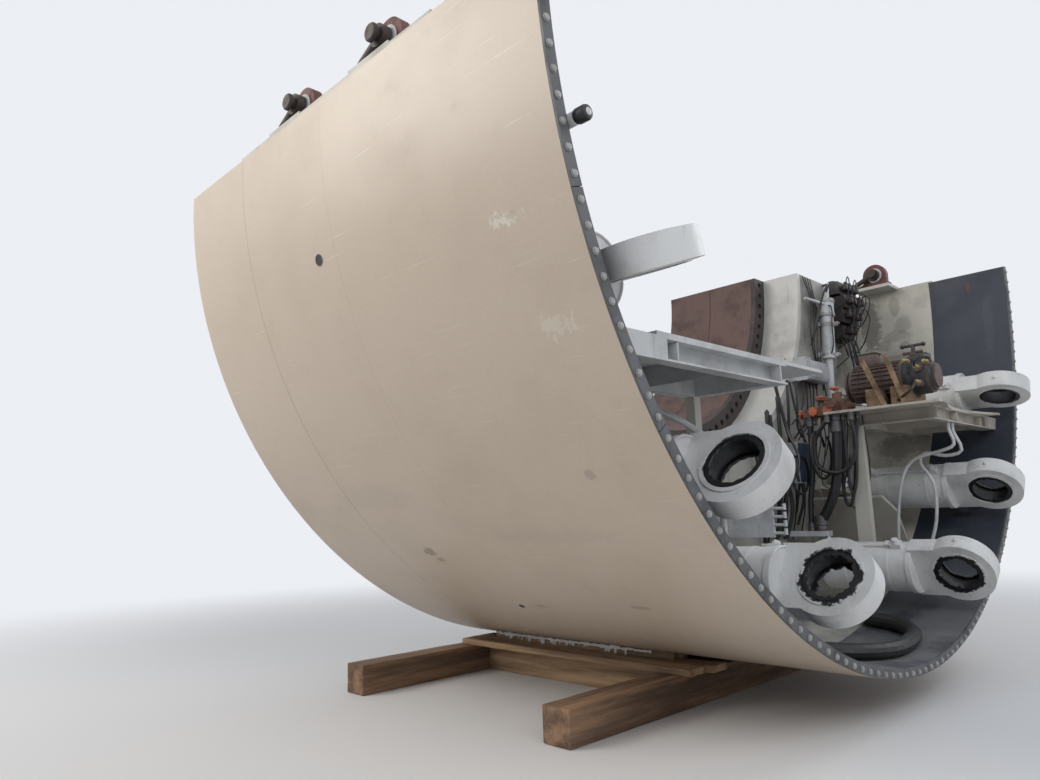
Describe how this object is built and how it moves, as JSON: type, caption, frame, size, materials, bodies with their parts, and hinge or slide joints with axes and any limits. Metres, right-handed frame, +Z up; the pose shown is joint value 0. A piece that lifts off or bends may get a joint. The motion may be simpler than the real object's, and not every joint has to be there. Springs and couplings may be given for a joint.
{
  "type": "tunnel shield section half",
  "caption": "Lower half of a tunnel boring machine's round shield section with bulkheads, drive ring, articulation cylinders, platforms, lifting shackles and timber dunnage.",
  "frame": {"origin": "middle of the part's box, on the ground under the timbers", "axes": "+X along the shield axis towards the tail end, -Y the near side of the picture, +Z up"},
  "size_m": [3.394, 6.27, 3.615],
  "materials": {
    "black_steel": "matte",
    "chrome": "gloss",
    "cylinder_paint": "satin",
    "dark_iron": "matte",
    "grey_paint": "satin",
    "inner_paint": "satin",
    "lug_red": "matte",
    "orange_iron": "matte",
    "rim_steel": "satin",
    "rubber": "matte",
    "rust_steel": "matte",
    "skin_paint": "satin",
    "tail_steel": "satin",
    "timber": "matte"
  },
  "bodies": {
    "shield": {"main_skin": "skin_paint", "tail_skin": "tail_steel", "rim_strip": "rim_steel", "front_ring": "skin_paint", "edge_bars": "skin_paint", "rear_bulkhead": "inner_paint", "front_bulkhead": "inner_paint", "radial_webs": "inner_paint", "gusset_plates": "inner_paint", "hub_ring": "inner_paint", "flange_ring": "dark_iron", "drive_housing": "rust_steel", "clevis_brackets": "inner_paint", "base_pins": "rim_steel", "near_platform": "grey_paint", "far_platform": "inner_paint", "deck_posts": "inner_paint", "pump_set": "rust_steel", "deck_blocks": "timber", "valve_manifold": "orange_iron", "upright_jack": "cylinder_paint", "service_boxes": "grey_paint", "valve_stack": "dark_iron", "hose_rails": "cylinder_paint", "black_hoses": "rubber", "white_pipes": "inner_paint", "lifting_lugs": "lug_red", "cross_beams": "timber", "long_planks": "timber"},
    "rod_1": {"rod_1": "chrome"},
    "barrel_1": {"barrel_1": "cylinder_paint"},
    "rod_2": {"rod_2": "chrome"},
    "barrel_2": {"barrel_2": "cylinder_paint"},
    "rod_3": {"rod_3": "chrome"},
    "barrel_3": {"barrel_3": "cylinder_paint"},
    "rod_4": {"rod_4": "chrome"},
    "barrel_4": {"barrel_4": "cylinder_paint"},
    "rod_5": {"rod_5": "chrome"},
    "barrel_5": {"barrel_5": "cylinder_paint"},
    "rod_6": {"rod_6": "chrome"},
    "barrel_6": {"barrel_6": "cylinder_paint"},
    "shackle_1": {"shackle_1": "black_steel"},
    "shackle_2": {"shackle_2": "black_steel"},
    "shackle_3": {"shackle_3": "black_steel"},
    "shackle_4": {"shackle_4": "black_steel"}
  },
  "joints": [
    {"name": "foot_1", "type": "hinge", "parent": "shield", "child": "rod_1", "pos_m": [0.343, -2.51042, 2.21729], "axis": [0, 0.4067, -0.9135], "range_deg": [-2, 2]},
    {"name": "stroke_1", "type": "slide", "parent": "rod_1", "child": "barrel_1", "axis": [1, 0, 0], "range_m": [-0.05, 0.15]},
    {"name": "foot_2", "type": "hinge", "parent": "shield", "child": "rod_2", "pos_m": [0.343, -1.90892, 1.35825], "axis": [0, 0.7193, -0.6947], "range_deg": [-2, 2]},
    {"name": "stroke_2", "type": "slide", "parent": "rod_2", "child": "barrel_2", "axis": [1, 0, 0], "range_m": [-0.05, 0.15]},
    {"name": "foot_3", "type": "hinge", "parent": "shield", "child": "rod_3", "pos_m": [0.343, -1.06931, 0.80358], "axis": [0, 0.9212, -0.3891], "range_deg": [-2, 2]},
    {"name": "stroke_3", "type": "slide", "parent": "rod_3", "child": "barrel_3", "axis": [1, 0, 0], "range_m": [-0.05, 0.15]},
    {"name": "foot_4", "type": "hinge", "parent": "shield", "child": "rod_4", "pos_m": [0.343, 0.89919, 0.73828], "axis": [0, 0.9449, 0.3272], "range_deg": [-2, 2]},
    {"name": "stroke_4", "type": "slide", "parent": "rod_4", "child": "barrel_4", "axis": [1, 0, 0], "range_m": [-0.05, 0.15]},
    {"name": "foot_5", "type": "hinge", "parent": "shield", "child": "rod_5", "pos_m": [0.343, 1.86358, 1.31546], "axis": [0, 0.7349, 0.6782], "range_deg": [-2, 2]},
    {"name": "stroke_5", "type": "slide", "parent": "rod_5", "child": "barrel_5", "axis": [1, 0, 0], "range_m": [-0.05, 0.15]},
    {"name": "foot_6", "type": "hinge", "parent": "shield", "child": "rod_6", "pos_m": [0.343, 2.46354, 2.11744], "axis": [0, 0.4431, 0.8965], "range_deg": [-2, 2]},
    {"name": "stroke_6", "type": "slide", "parent": "rod_6", "child": "barrel_6", "axis": [1, 0, 0], "range_m": [-0.05, 0.15]},
    {"name": "shackle_pin_1", "type": "hinge", "parent": "shield", "child": "shackle_1", "pos_m": [-0.447, -2.985, 3.5], "axis": [0, 1, 0], "range_deg": [0, 130]},
    {"name": "shackle_pin_2", "type": "hinge", "parent": "shield", "child": "shackle_2", "pos_m": [0.383, -2.985, 3.5], "axis": [0, 1, 0], "range_deg": [0, 130]},
    {"name": "shackle_pin_3", "type": "hinge", "parent": "shield", "child": "shackle_3", "pos_m": [-0.447, 2.985, 3.5], "axis": [0, 1, 0], "range_deg": [0, 130]},
    {"name": "shackle_pin_4", "type": "hinge", "parent": "shield", "child": "shackle_4", "pos_m": [0.383, 2.985, 3.5], "axis": [0, 1, 0], "range_deg": [0, 130]}
  ]
}
